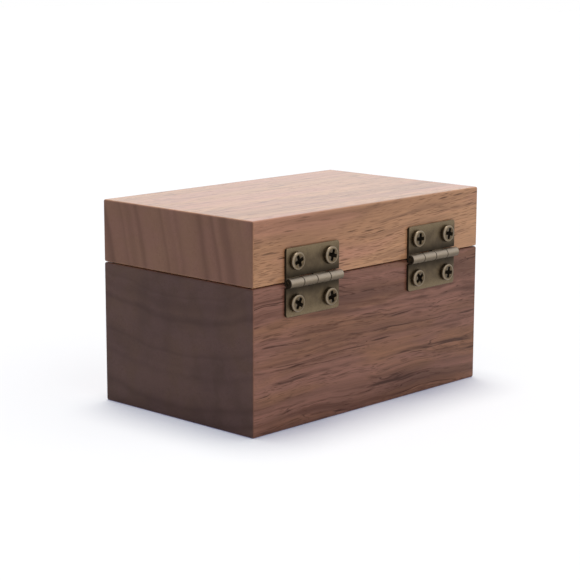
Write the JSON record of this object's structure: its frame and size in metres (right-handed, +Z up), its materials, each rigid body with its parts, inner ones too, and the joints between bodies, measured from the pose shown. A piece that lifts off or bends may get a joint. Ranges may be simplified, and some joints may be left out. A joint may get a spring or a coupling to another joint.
{
  "type": "hinged wooden money box",
  "caption": "Small rectangular walnut box with a hinged lid, for keeping coins and notes. Both halves are hollowed from solid blocks, with surface butt hinges on the back.",
  "frame": {"origin": "middle of the flat underside of the base block, on the surface that the box stands on", "axes": "+Z up, +X along the length of the box and its hinge line, -Y towards the front edge that lifts; the hinges are on the +Y side"},
  "size_m": [0.1, 0.0648, 0.061],
  "materials": {
    "base_walnut": "fine-sanded walnut with a thin matt oil, dark streaks along the length",
    "lid_walnut": "fine-sanded lighter walnut with a thin matt oil",
    "aged_brass_hinge": "antique brass, dark on the flats and worn paler on the knuckles and edges",
    "aged_brass_screw": "antique brass, worn paler round the edge of the head",
    "plated_magnet": "bright nickel plate"
  },
  "bodies": {
    "box": {"base_block": "base_walnut", "left_hinge_base_leaf": "aged_brass_hinge", "right_hinge_base_leaf": "aged_brass_hinge", "left_hinge_pin": "aged_brass_hinge", "right_hinge_pin": "aged_brass_hinge", "left_base_inner_screw": "aged_brass_screw", "left_base_outer_screw": "aged_brass_screw", "right_base_inner_screw": "aged_brass_screw", "right_base_outer_screw": "aged_brass_screw", "left_base_magnet": "plated_magnet", "right_base_magnet": "plated_magnet"},
    "lid": {"lid_block": "lid_walnut", "left_hinge_lid_leaf": "aged_brass_hinge", "right_hinge_lid_leaf": "aged_brass_hinge", "left_lid_inner_screw": "aged_brass_screw", "left_lid_outer_screw": "aged_brass_screw", "right_lid_inner_screw": "aged_brass_screw", "right_lid_outer_screw": "aged_brass_screw", "left_lid_magnet": "plated_magnet", "right_lid_magnet": "plated_magnet"}
  },
  "joints": [
    {"name": "lid_hinge", "type": "hinge", "parent": "box", "child": "lid", "pos_m": [0, 0.0324, 0.0423], "axis": [-1, 0, 0], "range_deg": [0, 155]}
  ]
}
